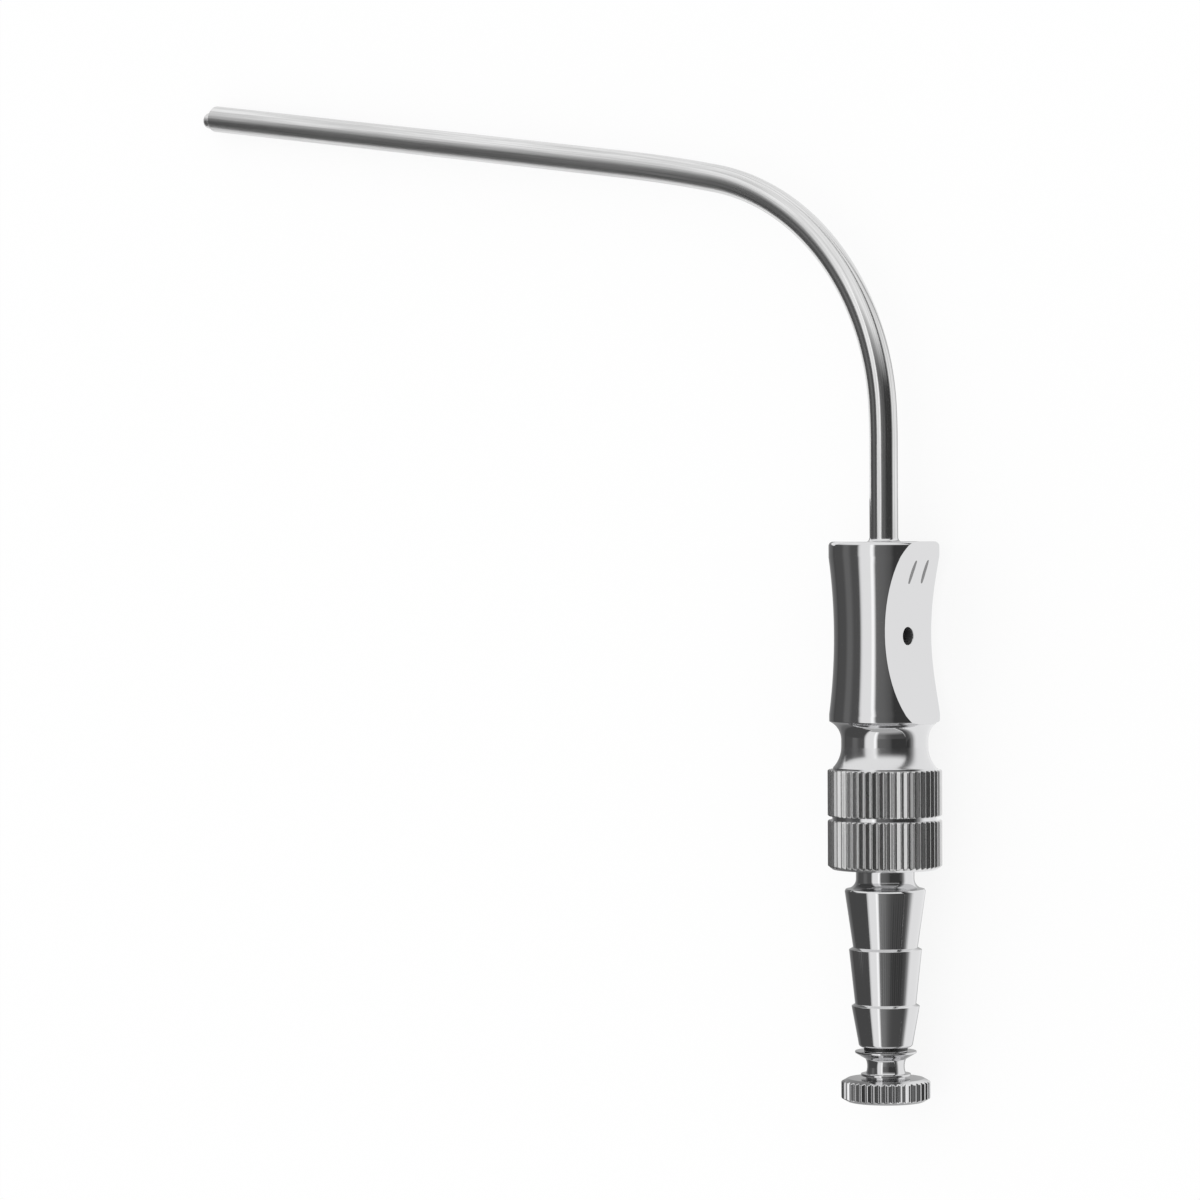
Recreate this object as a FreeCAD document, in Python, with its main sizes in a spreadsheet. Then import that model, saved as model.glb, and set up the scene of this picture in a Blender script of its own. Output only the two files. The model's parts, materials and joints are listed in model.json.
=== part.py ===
"""A bent suction tube: cannula, thumb-vented grip, barbed hose connector and cleaning stylet.

Each piece is drawn about the grip's axis, which is +Y, with height 0 at the grip's top face. The
cannula bends in the XY plane, away from the thumb rest, which faces +X. The whole is then rolled
about that axis until the knurled collars and the cannula's tip touch one surface, and moved so
that the origin is at the centre of the bottom of its box, +Z up. All lengths are millimetres.
"""

import FreeCAD
import Part
import Sketcher

import math
import os
import re

SHEET = "sizes"
LEFT = 1
RIGHT = -1
FULL_TURN = 360
Y_DIRECTION = FreeCAD.Vector(0, 1, 0)
Z_DIRECTION = FreeCAD.Vector(0, 0, 1)

DIMENSIONS = {
    # The cannula is gauge 11 on the French scale, three to the millimetre of outer diameter.
    "tube_diameter": 3.67,
    "tube_wall": 0.3,
    "tube_seat_depth": 9.0,
    "tube_edge_round": 0.2,
    "lead_length": 12.8,
    "lead_in_radius": 80.0,
    "lead_in_angle": 3.16,
    "bend_radius": 33.26,
    "bend_angle": 75.07,
    "run_out_radius": 250.0,
    "run_out_angle": 3.62,
    "arm_length": 74.7,
    # The grip is a waisted barrel with a hollowed thumb rest, then a neck and a knurled collar.
    "barrel_diameter": 14.2,
    "barrel_length": 23.05,
    "barrel_top_land": 2.0,
    "barrel_low_land": 0.9,
    "barrel_top_round": 0.55,
    "waist_depth": 0.65,
    "neck_diameter": 11.15,
    "neck_length": 6.2,
    "neck_upper_radius": 2.6,
    "neck_lower_radius": 3.9,
    "neck_foot_diameter": 13.3,
    "neck_foot_height": 0.25,
    "scoop_radius": 25.8,
    "scoop_floor_height": 3.7,
    "scoop_below_top": 11.6,
    "vent_diameter": 2.3,
    "vent_below_top": 12.1,
    "channel_diameter": 3.2,
    "solder_fillet": 0.4,
    "solder_lip": 0.05,
    # The two knurled collars have a plain land of the connector between them.
    "collar_diameter": 14.7,
    "collar_edge": 0.15,
    "grip_collar_length": 5.95,
    "connector_collar_length": 6.33,
    "connector_collar_bevel": 0.5,
    "connector_collar_face": 13.5,
    "land_length": 0.52,
    "land_diameter": 13.5,
    "knurl_count": 50,
    "knurl_depth": 0.3,
    "knurl_width": 0.8,
    "socket_diameter": 8.0,
    "socket_depth": 6.0,
    "spigot_length": 5.4,
    "spigot_clearance": 0.03,
    "spigot_bevel": 0.4,
    # The hose connector ends in three barbs, each smaller than the one above it.
    "connector_bore": 3.6,
    "connector_neck_diameter": 7.5,
    "connector_neck_length": 2.8,
    "connector_neck_root": 0.35,
    "shoulder_land": 0.15,
    "barb_shoulder": 0.28,
    "barb_one_diameter": 10.4,
    "barb_one_foot": 8.3,
    "barb_one_length": 7.5,
    "barb_two_diameter": 9.35,
    "barb_two_foot": 7.85,
    "barb_two_length": 7.25,
    "barb_three_diameter": 8.75,
    "barb_three_foot": 7.0,
    "barb_three_length": 5.3,
    "connector_end_round": 0.5,
    # The stylet is a wire with a knurled knob, whose boss and flange close the connector.
    "wire_diameter": 2.3,
    "wire_clearance": 0.05,
    "wire_reach": 1.8,
    "wire_nose_round": 0.8,
    "wire_seat_depth": 4.6,
    "boss_diameter": 5.6,
    "boss_length": 0.5,
    "flange_diameter": 7.9,
    "flange_rim": 0.22,
    "flange_cone_length": 0.8,
    "knob_neck_diameter": 5.2,
    "knob_neck_length": 1.88,
    "knob_neck_radius": 2.3,
    "bead_diameter": 6.4,
    "bead_length": 0.3,
    "stem_length": 0.3,
    "knob_diameter": 11.45,
    "knob_face_diameter": 9.8,
    "knob_bevel_length": 0.46,
    "knob_length": 2.98,
    "knob_knurl_count": 38,
    "knob_knurl_depth": 0.36,
    "knob_knurl_width": 0.68,
}

# Heights along the grip's axis, each measured down from the one above it.
BARREL_FOOT = "-barrel_length"
GRIP_COLLAR_TOP = "-(barrel_length + neck_length)"
GRIP_COLLAR_FOOT = f"({GRIP_COLLAR_TOP} - grip_collar_length)"
CONNECTOR_COLLAR_TOP = f"({GRIP_COLLAR_FOOT} - land_length)"
CONNECTOR_COLLAR_FOOT = f"({CONNECTOR_COLLAR_TOP} - connector_collar_length)"
BARB_ONE_TOP = f"({CONNECTOR_COLLAR_FOOT} - connector_neck_length)"
BARB_TWO_TOP = f"({BARB_ONE_TOP} - barb_one_length)"
BARB_THREE_TOP = f"({BARB_TWO_TOP} - barb_two_length)"
CONNECTOR_END = f"({BARB_THREE_TOP} - barb_three_length)"
FLANGE_TOP = f"({CONNECTOR_END} - boss_length)"
KNOB_NECK_TOP = f"({FLANGE_TOP} - flange_rim - flange_cone_length)"
KNOB_NECK_FOOT = f"({KNOB_NECK_TOP} - knob_neck_length)"
BEAD_FOOT = f"({KNOB_NECK_FOOT} - bead_length)"
KNOB_TOP = f"({BEAD_FOOT} - stem_length)"
KNOB_FOOT = f"({KNOB_TOP} - knob_length)"
WIRE_FOOT = f"({CONNECTOR_END} - wire_seat_depth)"

TUBE_RADIUS = "tube_diameter / 2"
COLLAR_RADIUS = "collar_diameter / 2"

# The wire lies against the inner side of the arm, so its bend is tighter than the tube's by its
# lean, and its arm is longer by what the tighter bend takes from its reach.
WIRE_PLAY = "(tube_diameter / 2 - tube_wall - wire_diameter / 2 - wire_clearance)"
WIRE_LEAN = f"({WIRE_PLAY} / (cos(run_out_angle) - cos(bend_angle + run_out_angle)))"
WIRE_LAG = f"({WIRE_LEAN} * (sin(bend_angle + run_out_angle) - sin(run_out_angle)))"


def fill_sheet(document):
    """Put each driving dimension in the sheet, under its own name."""
    sheet = document.addObject("Spreadsheet::Sheet", SHEET)
    for row, (name, number) in enumerate(DIMENSIONS.items(), start=1):
        sheet.set(f"A{row}", name)
        sheet.set(f"B{row}", str(number))
        sheet.setAlias(f"B{row}", name)
    document.recompute()


def cells(text):
    """Turn the dimension names in an expression into references to their cells."""
    return re.sub(r"\b[a-z]+(_[a-z]+)+\b", rf"{SHEET}.\g<0>", text)


def value(text):
    """Work out an expression of the dimensions."""
    return float(FreeCAD.ActiveDocument.getObject(SHEET).evalExpression(cells(text)))


def new_body(document, name):
    """Start a piece."""
    body = document.addObject("PartDesign::Body", name)
    body.Label = name
    return body


def origin_feature(body, role):
    """Find one of a body's own origin planes or axes."""
    return next(item for item in body.Origin.OriginFeatures if item.Role == role)


def new_sketch(body, name, role, height="0"):
    """Attach a sketch to one of the body's planes: at a height, where the plane is across +Y."""
    sketch = body.newObject("Sketcher::SketchObject", name)
    sketch.AttachmentSupport = [(origin_feature(body, role), "")]
    sketch.MapMode = "FlatFace"
    if height != "0":
        sketch.setExpression("AttachmentOffset.Base.z", cells(f"-({height})"))
    return sketch


def bind(sketch, constraints):
    """Add constraints, each with the expression that drives it, or None."""
    first = len(sketch.Constraints)
    sketch.addConstraint([constraint for constraint, _ in constraints])
    for index, (_, expression) in enumerate(constraints, start=first):
        if expression is not None:
            sketch.setExpression(f"Constraints[{index}]", cells(expression))


def arc_between(start, finish, radius, turn):
    """Return the short arc between two points that turns left or right on the way."""
    chord = finish - start
    rise = math.sqrt(radius ** 2 - (chord.Length / 2) ** 2)
    across = Z_DIRECTION.cross(chord).normalize()
    centre = (start + finish) / 2 + across * (rise * turn)
    ends = (start, finish) if turn == LEFT else (finish, start)
    angles = [math.atan2(end.y - centre.y, end.x - centre.x) for end in ends]
    return Part.ArcOfCircle(Part.Circle(centre, Z_DIRECTION, radius), *angles)


def pin_corner(geometry, end, corner, point):
    """Return the constraints that hold one end of an edge at a corner's two expressions."""
    held = []
    for expression, kind, axis, number in zip(corner, ("DistanceX", "DistanceY"), (-2, -1), point):
        if expression == "0":
            held.append((Sketcher.Constraint("PointOnObject", geometry, end, axis), None))
        else:
            held.append((Sketcher.Constraint(kind, -1, 1, geometry, end, number), expression))
    return held


def draw_outline(sketch, corners):
    """Close an outline through corners, which are (x, y) or (x, y, radius, turn).

    A corner with a radius starts an arc that turns left or right to the next corner.
    """
    points = [FreeCAD.Vector(value(corner[0]), value(corner[1]), 0) for corner in corners]
    edges = []
    ends = []
    constraints = []
    for index, corner in enumerate(corners):
        finish = points[(index + 1) % len(points)]
        if len(corner) == 2:
            edges.append(Part.LineSegment(points[index], finish))
            ends.append((1, 2))
        else:
            radius, turn = corner[2:]
            edges.append(arc_between(points[index], finish, value(radius), turn))
            ends.append((1, 2) if turn == LEFT else (2, 1))
            constraints.append((Sketcher.Constraint("Radius", index, value(radius)), radius))
    for index, corner in enumerate(corners):
        before = index - 1 if index else len(corners) - 1
        meeting = Sketcher.Constraint("Coincident", before, ends[before][1], index, ends[index][0])
        constraints.append((meeting, None))
        constraints += pin_corner(index, ends[index][0], corner[:2], points[index][:2])
    sketch.addGeometry(edges)
    bind(sketch, constraints)


def draw_circle(sketch, x, y, diameter):
    """Draw a circle about a point of the sketch."""
    centre = (value(x), value(y))
    circle = Part.Circle(FreeCAD.Vector(*centre, 0), Z_DIRECTION, value(diameter) / 2)
    index = sketch.addGeometry(circle)
    size = Sketcher.Constraint("Diameter", index, value(diameter))
    bind(sketch, [(size, diameter)] + pin_corner(index, 3, (x, y), centre))


def turn_piece(body, corners):
    """Turn the body from the outline of its half section, drawn as radius and height."""
    sketch = new_sketch(body, f"{body.Name}_section", "XY_Plane")
    draw_outline(sketch, corners)
    turned = body.newObject("PartDesign::Revolution", f"{body.Name}_turning")
    turned.Profile = sketch
    turned.ReferenceAxis = (sketch, ["V_Axis"])
    turned.Angle = FULL_TURN


def knurl(body, radius, top, length, prefix):
    """Cut straight V grooves down a round surface, all the way round."""
    depth, width, count = (f"{prefix}_{part}" for part in ("depth", "width", "count"))
    sketch = new_sketch(body, f"{body.Name}_groove_section", "XZ_Plane", top)
    outside = f"{radius} + {depth}"
    draw_outline(sketch, [(f"{radius} - {depth}", "0"), (outside, f"-{width}"), (outside, width)])
    groove = body.newObject("PartDesign::Pocket", f"{body.Name}_groove")
    groove.Profile = sketch
    groove.setExpression("Length", cells(length))
    groove.Reversed = True
    pattern = body.newObject("PartDesign::PolarPattern", f"{body.Name}_knurl")
    pattern.Originals = [groove]
    pattern.Axis = (origin_feature(body, "Y_Axis"), [""])
    pattern.Angle = FULL_TURN
    pattern.setExpression("Occurrences", cells(count))
    body.Tip = pattern


def draw_centre_line(sketch, foot, bend_radius, arm):
    """Draw a line up the axis, round the three arcs of the bend and straight along the arm."""
    lead = f"lead_length - ({foot})"
    bends = [
        ("lead_in_radius", "lead_in_angle"),
        (bend_radius, "bend_angle"),
        ("run_out_radius", "run_out_angle"),
    ]
    point = FreeCAD.Vector(0, value(foot), 0)
    heading = Y_DIRECTION
    edges = [Part.LineSegment(point, point + heading * value(lead))]
    constraints = [
        (Sketcher.Constraint("Vertical", 0), None),
        (Sketcher.Constraint("Distance", 0, value(lead)), lead),
    ]
    constraints += pin_corner(0, 1, ("0", foot), point[:2])
    point = edges[0].EndPoint
    for index, (radius, angle) in enumerate(bends, start=1):
        turn = FreeCAD.Rotation(Z_DIRECTION, value(angle))
        centre = point + Z_DIRECTION.cross(heading) * value(radius)
        finish = centre + turn.multVec(point - centre)
        edges.append(arc_between(point, finish, value(radius), LEFT))
        span = math.radians(value(angle))
        constraints += [
            (Sketcher.Constraint("Tangent", index - 1, 2, index, 1), None),
            (Sketcher.Constraint("Radius", index, value(radius)), radius),
            (Sketcher.Constraint("Angle", index, span), f"{angle} * 1 deg"),
        ]
        heading = turn.multVec(heading)
        point = finish
    last = len(edges)
    edges.append(Part.LineSegment(point, point + heading * value(arm)))
    constraints += [
        (Sketcher.Constraint("Tangent", last - 1, 2, last, 1), None),
        (Sketcher.Constraint("Distance", last, value(arm)), arm),
    ]
    sketch.addGeometry(edges)
    bind(sketch, constraints)


def sweep_piece(body, foot, bend_radius, arm, diameters):
    """Sweep a round section along the bent centre line, and return that line."""
    line = new_sketch(body, f"{body.Name}_centre_line", "XY_Plane")
    draw_centre_line(line, foot, bend_radius, arm)
    section = new_sketch(body, f"{body.Name}_section", "XZ_Plane", foot)
    for diameter in diameters:
        draw_circle(section, "0", "0", diameter)
    swept = body.newObject("PartDesign::AdditivePipe", f"{body.Name}_sweep")
    swept.Profile = section
    swept.Spine = line
    return line


def round_tip(body, line, diameter, radius):
    """Round the outer edge at the far end of a swept piece."""
    FreeCAD.ActiveDocument.recompute()
    swept = body.Tip
    tip = min((vertex.Point for vertex in line.Shape.Vertexes), key=lambda point: point.x)
    edges = swept.Shape.Edges

    def distance(edge):
        miss = abs(edge.Curve.Radius - value(diameter) / 2)
        return (edge.Curve.Center - tip).Length + miss

    rims = [index for index, edge in enumerate(edges) if isinstance(edge.Curve, Part.Circle)]
    nearest = min(rims, key=lambda index: distance(edges[index]))
    rounding = body.newObject("PartDesign::Fillet", f"{body.Name}_tip_round")
    rounding.Base = (swept, [f"Edge{nearest + 1}"])
    rounding.setExpression("Radius", cells(radius))


def make_cannula(document):
    """The suction tube: a thin wall, bent in one plane, with a rounded tip."""
    body = new_body(document, "cannula")
    bore = "tube_diameter - 2 * tube_wall"
    line = sweep_piece(body, "-tube_seat_depth", "bend_radius", "arm_length", ["tube_diameter", bore])
    round_tip(body, line, "tube_diameter", "tube_edge_round")
    return body


def make_grip(document):
    """The grip: turned in one piece, then hollowed for the thumb, vented and knurled."""
    body = new_body(document, "grip")
    barrel = "barrel_diameter / 2"
    neck = "neck_diameter / 2"
    neck_foot = "neck_foot_diameter / 2"
    waist_reach = "((barrel_length - barrel_top_land - barrel_low_land) / 2)"
    waist_radius = f"({waist_reach} ^ 2 + waist_depth ^ 2) / (2 * waist_depth)"
    foot_top = f"{GRIP_COLLAR_TOP} + neck_foot_height"
    upper_depth = f"(neck_upper_radius - ({barrel} - {neck}))"
    lower_depth = f"(neck_lower_radius - ({neck_foot} - {neck}))"
    socket_top = f"{GRIP_COLLAR_FOOT} + socket_depth"
    turn_piece(body, [
        (TUBE_RADIUS, "solder_fillet"),
        (f"{TUBE_RADIUS} + solder_lip", "solder_fillet", "solder_fillet", LEFT),
        (f"{TUBE_RADIUS} + solder_lip + solder_fillet", "0"),
        (f"{barrel} - barrel_top_round", "0", "barrel_top_round", RIGHT),
        (barrel, "-barrel_top_round"),
        (barrel, "-barrel_top_land", waist_radius, LEFT),
        (barrel, f"{BARREL_FOOT} + barrel_low_land"),
        (barrel, BARREL_FOOT, "neck_upper_radius", LEFT),
        (neck, f"{BARREL_FOOT} - sqrt(neck_upper_radius ^ 2 - {upper_depth} ^ 2)"),
        (neck, f"{foot_top} + sqrt(neck_lower_radius ^ 2 - {lower_depth} ^ 2)",
         "neck_lower_radius", LEFT),
        (neck_foot, foot_top),
        (neck_foot, GRIP_COLLAR_TOP),
        (f"{COLLAR_RADIUS} - collar_edge", GRIP_COLLAR_TOP),
        (COLLAR_RADIUS, f"{GRIP_COLLAR_TOP} - collar_edge"),
        (COLLAR_RADIUS, f"{GRIP_COLLAR_FOOT} + collar_edge"),
        (f"{COLLAR_RADIUS} - collar_edge", GRIP_COLLAR_FOOT),
        ("socket_diameter / 2", GRIP_COLLAR_FOOT),
        ("socket_diameter / 2", socket_top),
        ("channel_diameter / 2", socket_top),
        ("channel_diameter / 2", "-tube_seat_depth"),
        (TUBE_RADIUS, "-tube_seat_depth"),
    ])
    hollow_thumb_rest(body)
    drill_vent(body)
    knurl(body, COLLAR_RADIUS, GRIP_COLLAR_TOP, "grip_collar_length", "knurl")
    return body


def hollow_thumb_rest(body):
    """Mill the thumb rest: a shallow round hollow across the barrel's +X side."""
    sketch = new_sketch(body, "thumb_rest_section", "XY_Plane")
    draw_circle(sketch, "scoop_floor_height + scoop_radius", "-scoop_below_top", "2 * scoop_radius")
    rest = body.newObject("PartDesign::Pocket", "thumb_rest")
    rest.Profile = sketch
    rest.SideType = "Symmetric"
    rest.setExpression("Length", cells("2 * barrel_diameter"))


def drill_vent(body):
    """Drill the vent from the thumb rest's floor into the channel."""
    sketch = new_sketch(body, "vent_section", "YZ_Plane")
    draw_circle(sketch, "-vent_below_top", "0", "vent_diameter")
    vent = body.newObject("PartDesign::Pocket", "vent")
    vent.Profile = sketch
    vent.setExpression("Length", cells("barrel_diameter"))
    vent.Reversed = True


def barb_corners():
    """Return the outline of the three barbs, from the top shoulder to the last foot."""
    tops = {"one": BARB_ONE_TOP, "two": BARB_TWO_TOP, "three": BARB_THREE_TOP}
    corners = []
    for name, top in tops.items():
        foot = f"{top} - barb_{name}_length"
        end = "connector_end_round" if name == "three" else "barb_shoulder"
        corners += [
            (f"barb_{name}_diameter / 2", top),
            (f"barb_{name}_foot / 2", f"{foot} + {end}"),
        ]
    return corners


def make_hose_connector(document):
    """The hose connector: spigot, land, knurled collar, neck and three barbs, bored through."""
    body = new_body(document, "hose_connector")
    bore = "connector_bore / 2"
    spigot = "socket_diameter / 2 - spigot_clearance"
    spigot_top = f"{GRIP_COLLAR_FOOT} + spigot_length"
    neck = "connector_neck_diameter / 2"
    shoulder = f"{BARB_ONE_TOP} + barb_shoulder"
    fillet = f"(barb_one_diameter / 2 - {neck} - shoulder_land)"
    barbs = barb_corners()
    barbs[-1] += ("connector_end_round", RIGHT)
    turn_piece(body, [
        (bore, spigot_top),
        (f"{spigot} - spigot_bevel", spigot_top),
        (spigot, f"{spigot_top} - spigot_bevel"),
        (spigot, GRIP_COLLAR_FOOT),
        ("land_diameter / 2", GRIP_COLLAR_FOOT),
        ("land_diameter / 2", CONNECTOR_COLLAR_TOP),
        (f"{COLLAR_RADIUS} - collar_edge", CONNECTOR_COLLAR_TOP),
        (COLLAR_RADIUS, f"{CONNECTOR_COLLAR_TOP} - collar_edge"),
        (COLLAR_RADIUS, f"{CONNECTOR_COLLAR_FOOT} + connector_collar_bevel"),
        ("connector_collar_face / 2", CONNECTOR_COLLAR_FOOT),
        (f"{neck} + connector_neck_root", CONNECTOR_COLLAR_FOOT, "connector_neck_root", LEFT),
        (neck, f"{CONNECTOR_COLLAR_FOOT} - connector_neck_root"),
        (neck, f"{shoulder} + {fillet}", fillet, LEFT),
        (f"{neck} + {fillet}", shoulder),
        *barbs,
        ("barb_three_foot / 2 - connector_end_round", CONNECTOR_END),
        (bore, CONNECTOR_END),
    ])
    knurl(body, COLLAR_RADIUS, CONNECTOR_COLLAR_TOP, "connector_collar_length", "knurl")
    return body


def make_stylet_wire(document):
    """The stylet's wire, from its seat in the knob to just past the cannula's tip."""
    body = new_body(document, "stylet_wire")
    arm = f"arm_length + wire_reach + {WIRE_LAG}"
    line = sweep_piece(body, WIRE_FOOT, f"bend_radius - {WIRE_LEAN}", arm, ["wire_diameter"])
    round_tip(body, line, "wire_diameter", "wire_nose_round")
    return body


def make_stylet_knob(document):
    """The stylet's knob: a boss that stops at the connector, flange, beaded neck and knurled head."""
    body = new_body(document, "stylet_knob")
    boss = "boss_diameter / 2"
    flange = "flange_diameter / 2"
    neck = "knob_neck_diameter / 2"
    bead = "bead_diameter / 2"
    face = "knob_face_diameter / 2"
    head = "knob_diameter / 2"
    wire = "wire_diameter / 2"
    turn_piece(body, [
        (wire, CONNECTOR_END),
        (boss, CONNECTOR_END),
        (boss, FLANGE_TOP),
        (flange, FLANGE_TOP),
        (flange, f"{FLANGE_TOP} - flange_rim"),
        (neck, KNOB_NECK_TOP, "knob_neck_radius", LEFT),
        (neck, KNOB_NECK_FOOT),
        (bead, KNOB_NECK_FOOT),
        (bead, BEAD_FOOT),
        (neck, BEAD_FOOT),
        (neck, KNOB_TOP),
        (face, KNOB_TOP),
        (head, f"{KNOB_TOP} - knob_bevel_length"),
        (head, f"{KNOB_FOOT} + knob_bevel_length"),
        (face, KNOB_FOOT),
        ("0", KNOB_FOOT),
        ("0", WIRE_FOOT),
        (wire, WIRE_FOOT),
    ])
    knurl(body, head, KNOB_TOP, "knob_length", "knob_knurl")
    return body


def lay_down(pieces):
    """Roll the pieces onto the collars and the cannula's tip, and centre their box over the origin."""
    tip = min(vertex.Point.x for vertex in pieces[0].Group[0].Shape.Vertexes)
    drop = value(COLLAR_RADIUS) - value(TUBE_RADIUS)
    roll = FreeCAD.Rotation(Y_DIRECTION, -math.degrees(math.asin(drop / -tip)))
    rolled = Part.makeCompound([piece.Shape for piece in pieces])
    rolled.Placement = FreeCAD.Placement(FreeCAD.Vector(), roll)
    box = rolled.optimalBoundingBox(False)
    base = FreeCAD.Vector(-box.Center.x, -box.Center.y, -box.ZMin)
    for piece in pieces:
        piece.Placement = FreeCAD.Placement(base, roll)


def check(document, pieces):
    """Stop if a feature failed, a cut removed nothing or a piece isn't one valid solid."""
    for item in document.Objects:
        if {"Invalid", "Error"} & set(item.State):
            raise RuntimeError(f"{item.Name} failed: {item.State}")
        if item.TypeId == "PartDesign::Pocket":
            if item.Shape.Volume >= item.BaseFeature.Shape.Volume:
                raise RuntimeError(f"{item.Name} cuts nothing")
    for piece in pieces:
        if piece.Shape.isNull() or not piece.Shape.isValid() or len(piece.Shape.Solids) != 1:
            raise RuntimeError(f"{piece.Label} isn't one valid solid")


def main():
    """Build every piece, lay the whole down and write one file for each piece."""
    document = FreeCAD.newDocument("suction_tube")
    fill_sheet(document)
    pieces = [
        make_cannula(document),
        make_grip(document),
        make_hose_connector(document),
        make_stylet_wire(document),
        make_stylet_knob(document),
    ]
    document.recompute()
    lay_down(pieces)
    document.recompute()
    check(document, pieces)
    os.makedirs("parts", exist_ok=True)
    for piece in pieces:
        piece.Shape.exportStep(f"parts/{piece.Label}.step")
        print(piece.Label, f"{piece.Shape.Volume:.1f} mm3")


main()
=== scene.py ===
"""The looks of the bent suction tube: finely turned, knurled and polished steel on a pale floor.

Each piece is drawn in millimetres about the grip's axis, +Y, with height 0 at the grip's top face,
and then laid down where the frame has it. The thumb rest faces +X and the cannula bends away from it.
"""

import json
import math

import bmesh
import bpy
from mathutils import Matrix, Vector


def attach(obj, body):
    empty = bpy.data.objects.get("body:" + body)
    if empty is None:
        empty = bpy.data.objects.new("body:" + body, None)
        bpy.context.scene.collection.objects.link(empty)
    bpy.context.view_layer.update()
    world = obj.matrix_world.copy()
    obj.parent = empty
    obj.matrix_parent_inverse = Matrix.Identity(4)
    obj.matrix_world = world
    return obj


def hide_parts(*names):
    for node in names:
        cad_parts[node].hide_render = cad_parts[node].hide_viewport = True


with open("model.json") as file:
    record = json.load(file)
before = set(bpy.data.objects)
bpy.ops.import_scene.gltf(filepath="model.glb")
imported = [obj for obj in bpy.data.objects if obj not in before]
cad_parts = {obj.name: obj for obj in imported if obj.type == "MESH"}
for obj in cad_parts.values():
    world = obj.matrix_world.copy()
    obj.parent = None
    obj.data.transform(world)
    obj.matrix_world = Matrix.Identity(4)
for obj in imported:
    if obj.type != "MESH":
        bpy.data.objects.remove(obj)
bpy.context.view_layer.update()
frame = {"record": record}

MM = 0.001

# Cannula: lengths and radii in millimetres, angles in degrees
TUBE_RADIUS = 1.835
TUBE_WALL = 0.3
TUBE_SEAT_DEPTH = 9.0
TUBE_EDGE_ROUND = 0.2
TUBE_COLUMNS = 96
LEAD_LENGTH = 12.8
LEAD_IN = (80.0, 3.16)
BEND = (33.26, 75.07)
RUN_OUT = (250.0, 3.62)
ARM_LENGTH = 74.7

# Grip
BARREL_RADIUS = 7.1
BARREL_FOOT = -23.05
BARREL_TOP_LAND = 2.0
BARREL_LOW_LAND = 0.9
BARREL_TOP_ROUND = 0.55
WAIST_RADIUS = 6.45
NECK_RADIUS = 5.575
NECK_FOOT_RADIUS = 6.65
NECK_FOOT_HEIGHT = 0.25
NECK_UPPER_CURVE = 2.6
NECK_LOWER_CURVE = 3.9
NECK_TURNED_TOP = -26.075
REST_CURVE = 25.8
REST_FLOOR = 3.7
REST_HEIGHT = -11.6
REST_EDGE = 0.09
VENT_RADIUS = 1.15
VENT_HEIGHT = -12.1
VENT_FLARE = 0.09
CHANNEL_RADIUS = 1.6
VENT_START = CHANNEL_RADIUS / 3
SOLDER_FILLET = 0.4
SOLDER_LIP = 0.05

# The size mark on the thumb rest: two strokes, each from a height and side to another
MARK_STROKES = (((-5.55, 0.92), (-2.35, 0.47)), ((-5.5, -1.93), (-2.3, -2.15)))
MARK_RADIUS = 0.5
MARK_DEPTH = 0.12
MARK_FULLNESS = 0.25

# Knurled collars
COLLAR_RADIUS = 7.35
COLLAR_EDGE = 0.15
COLLAR_BEVEL = 0.5
COLLAR_FACE_RADIUS = 6.75
GRIP_COLLAR_TOP = -29.25
GRIP_COLLAR_FOOT = -35.2
LAND_RADIUS = 6.75
SOCKET_RADIUS = 4.0
SOCKET_TOP = -29.2
COLLAR_KNURL = {"count": 50, "depth": 0.3, "width": 0.8, "outside": COLLAR_RADIUS}
COLLAR_KNURL_FLOOR = 7.0

# Hose connector
SPIGOT_RADIUS = 3.97
SPIGOT_TOP = -29.8
SPIGOT_BEVEL = 0.4
CONNECTOR_BORE = 1.8
CONNECTOR_COLLAR_TOP = -35.72
CONNECTOR_COLLAR_FOOT = -42.05
CONNECTOR_NECK_RADIUS = 3.75
CONNECTOR_NECK_ROOT = 0.35
CONNECTOR_NECK_FILLET = 1.3
CONNECTOR_END = -64.9
CONNECTOR_END_ROUND = 0.5
BARB_SHOULDER = 0.28
BARBS = (  # the radius at the top, the radius at the foot and the height of the top
    (5.2, 4.15, -44.85),
    (4.675, 3.925, -52.35),
    (4.375, 3.5, -59.6),
)

# Stylet
WIRE_RADIUS = 1.15
WIRE_CLEARANCE = 0.05
WIRE_REACH = 1.8
WIRE_NOSE = 0.8
WIRE_FOOT = -69.5
WIRE_COLUMNS = 64
BOSS_RADIUS = 2.8
FLANGE_TOP = -65.4
FLANGE_RADIUS = 3.95
FLANGE_RIM = 0.22
KNOB_NECK_TOP = -66.42
KNOB_NECK_FOOT = -68.3
KNOB_NECK_RADIUS = 2.6
KNOB_NECK_CURVE = 2.3
BEAD_RADIUS = 3.2
BEAD_FOOT = -68.6
KNOB_TOP = -68.9
KNOB_FOOT = -71.88
KNOB_RADIUS = 5.725
KNOB_FACE_RADIUS = 4.9
KNOB_BEVEL = 0.46
KNOB_KNURL = {"count": 38, "depth": 0.36, "width": 0.68, "outside": KNOB_RADIUS}

# Which of a piece's finishes a part of it has, where 0 is the piece's own
KNURL_FINISH = 1
NECK_FINISH = 2
# the knob's boss, in the gap between the connector's end and the flange, takes a near-black painted shade
BOSS_PAINTED_SHADE = 1

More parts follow.
